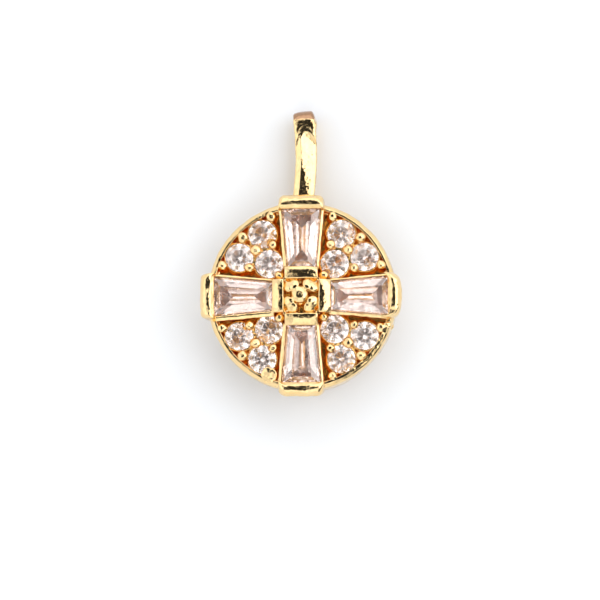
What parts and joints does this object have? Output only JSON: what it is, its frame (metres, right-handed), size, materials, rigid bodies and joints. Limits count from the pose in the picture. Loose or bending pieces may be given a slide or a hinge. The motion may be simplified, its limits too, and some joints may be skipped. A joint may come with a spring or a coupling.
{
  "type": "clip-on nose pin",
  "caption": "Press-on nose pin: round gold-plated disc with a cross of tapered baguette stones, round stones between its arms and a flat bent clip behind it.",
  "frame": {"origin": "on the underside of the clip's back leg, straight under the middle of the disc", "axes": "+Z out of the jewelled face, +Y from the disc towards the clip's bend, +X to the right of the face as it is looked at with the bend upwards"},
  "size_m": [0.01, 0.0144, 0.0039],
  "materials": {
    "gold_plate": "polished gold plating on cast brass",
    "baguette_zirconia": "polished cubic zirconia, faintly pink",
    "round_zirconia": "polished cubic zirconia, brilliant cut"
  },
  "bodies": {
    "root": {"setting": "gold_plate", "baguette_top": "baguette_zirconia", "baguette_right": "baguette_zirconia", "baguette_bottom": "baguette_zirconia", "baguette_left": "baguette_zirconia", "round_ne_1": "round_zirconia", "round_ne_2": "round_zirconia", "round_ne_3": "round_zirconia", "round_se_1": "round_zirconia", "round_se_2": "round_zirconia", "round_se_3": "round_zirconia", "round_sw_1": "round_zirconia", "round_sw_2": "round_zirconia", "round_sw_3": "round_zirconia", "round_nw_1": "round_zirconia", "round_nw_2": "round_zirconia", "round_nw_3": "round_zirconia"}
  },
  "joints": []
}
